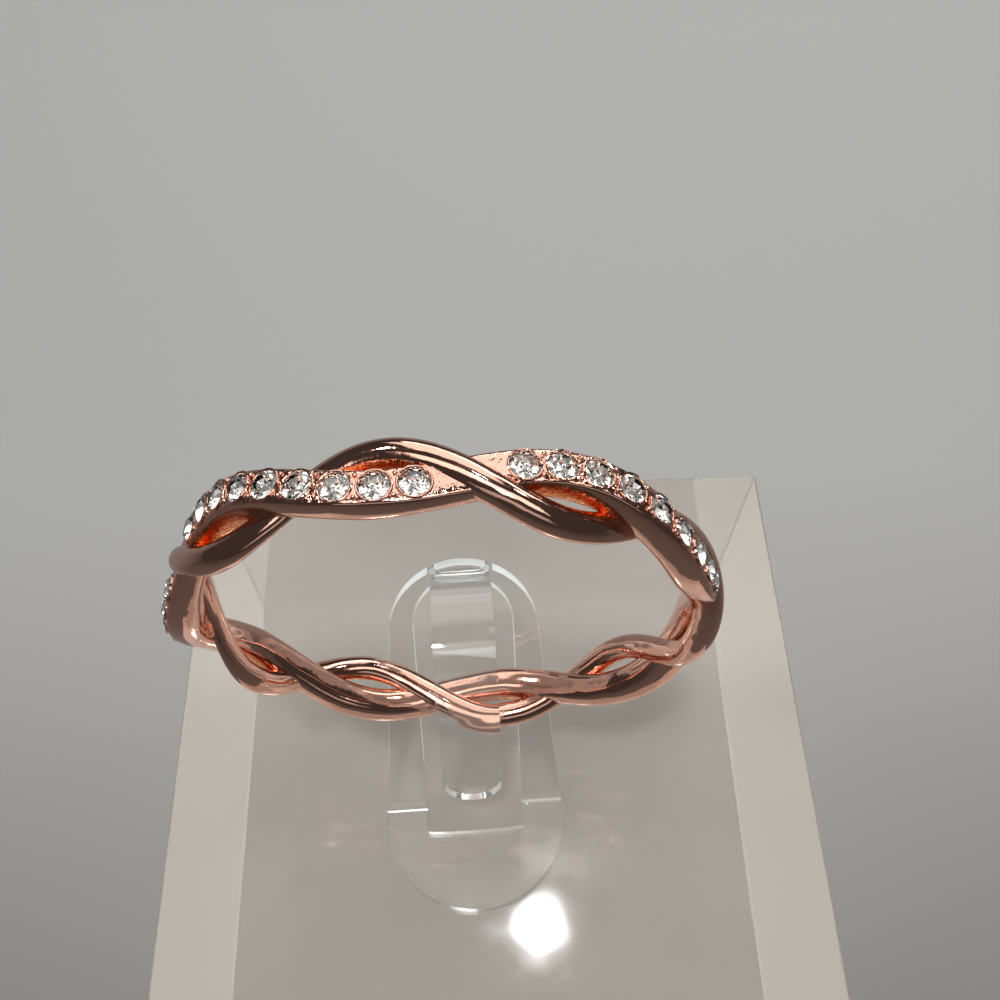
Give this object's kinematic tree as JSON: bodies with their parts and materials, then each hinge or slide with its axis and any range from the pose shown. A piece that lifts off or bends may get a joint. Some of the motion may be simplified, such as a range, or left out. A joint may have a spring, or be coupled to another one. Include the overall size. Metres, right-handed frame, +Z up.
{
  "type": "twist ring on a clear clip stand",
  "caption": "Rose gold finger ring of two twisted strands, one plain and one set with round stones, held upright by a clear clip on a clear block.",
  "frame": {"origin": "middle of the block's underside, on the surface that the stand rests on", "axes": "+Z up, the front of the stand faces -Y and +X is to the right of someone who faces the front"},
  "size_m": [0.031, 0.031, 0.0509],
  "materials": {
    "rose_gold": "polished",
    "stone": "faceted",
    "clear_clip": "clear",
    "clear_block": "clear"
  },
  "bodies": {
    "root": {"band": "rose_gold", "ring_clip": "clear_clip", "riser_block": "clear_block", "stone_01": "stone", "stone_02": "stone", "stone_03": "stone", "stone_04": "stone", "stone_05": "stone", "stone_06": "stone", "stone_07": "stone", "stone_08": "stone", "stone_09": "stone", "stone_10": "stone", "stone_11": "stone", "stone_12": "stone", "stone_13": "stone", "stone_14": "stone", "stone_15": "stone", "stone_16": "stone", "stone_17": "stone", "stone_18": "stone", "stone_19": "stone", "stone_20": "stone", "stone_21": "stone", "stone_22": "stone", "stone_23": "stone", "stone_24": "stone", "stone_25": "stone", "stone_26": "stone", "stone_27": "stone"}
  },
  "joints": []
}
